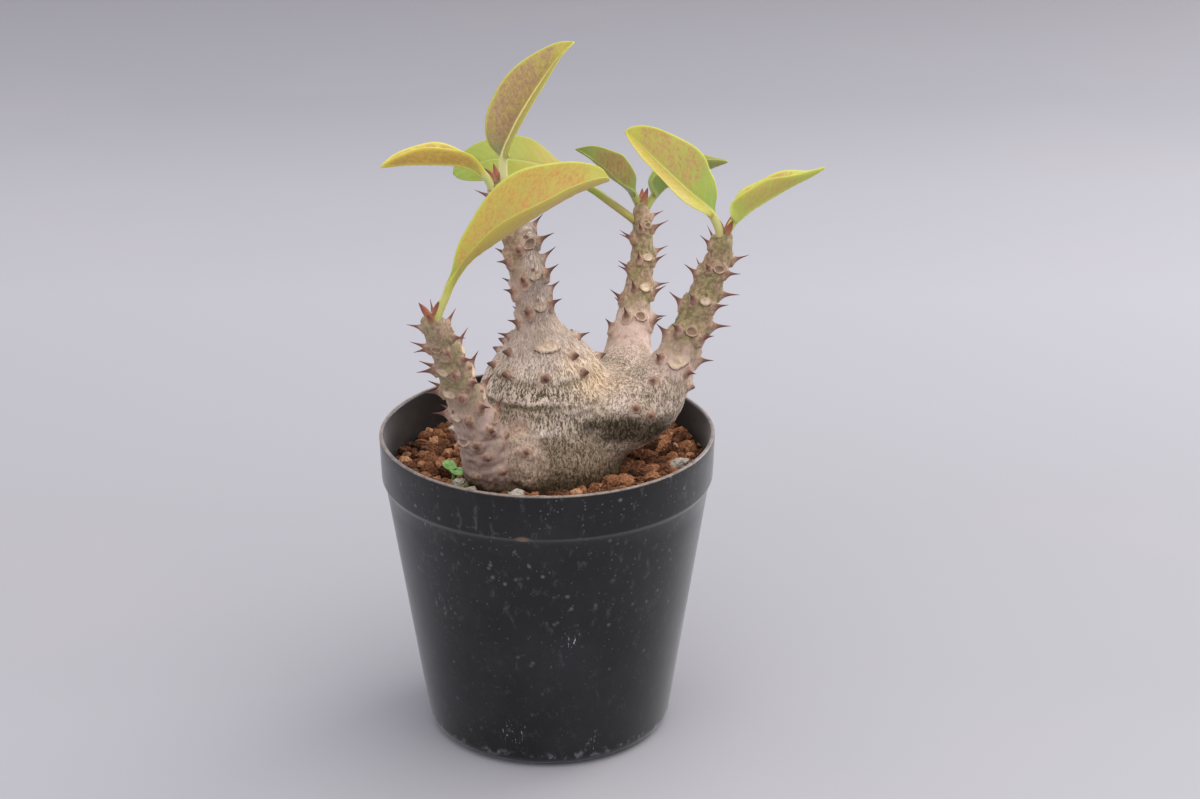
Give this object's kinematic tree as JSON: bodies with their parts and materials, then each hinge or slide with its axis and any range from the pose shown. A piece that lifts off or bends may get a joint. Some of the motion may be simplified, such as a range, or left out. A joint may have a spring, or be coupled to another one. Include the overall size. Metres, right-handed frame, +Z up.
{
  "type": "potted pachypodium",
  "caption": "Small thorny caudex succulent with a swollen base, leaning branches and folded leaves, planted in gritty soil in a round plastic nursery pot.",
  "frame": {"origin": "middle of the pot's underside, on the surface that it stands on", "axes": "+Z up; -Y is the side that the picture shows; +X to its right"},
  "size_m": [0.118, 0.1053, 0.1914],
  "materials": {
    "pot": "satin, dusty",
    "soil": "porous baked clay grains, matt",
    "caudex": "fissured silvery bark, smooth towards the tips",
    "leaf_front": "leathery leaf, satin",
    "leaf_top_upright": "leathery leaf, satin",
    "leaf_top_left": "leathery leaf, satin",
    "leaf_back_left": "leathery leaf, satin",
    "leaf_back_right": "leathery leaf, satin",
    "leaf_back_long": "leathery leaf, satin",
    "leaf_right_large": "leathery leaf, satin",
    "leaf_right_side": "leathery leaf, satin",
    "weed_seedling": "soft leaf, satin"
  },
  "bodies": {
    "root": {"pot": "pot", "soil": "soil", "caudex": "caudex", "leaf_front": "leaf_front", "leaf_top_upright": "leaf_top_upright", "leaf_top_left": "leaf_top_left", "leaf_back_left": "leaf_back_left", "leaf_back_right": "leaf_back_right", "leaf_back_long": "leaf_back_long", "leaf_right_large": "leaf_right_large", "leaf_right_side": "leaf_right_side", "weed_seedling": "weed_seedling"}
  },
  "joints": []
}
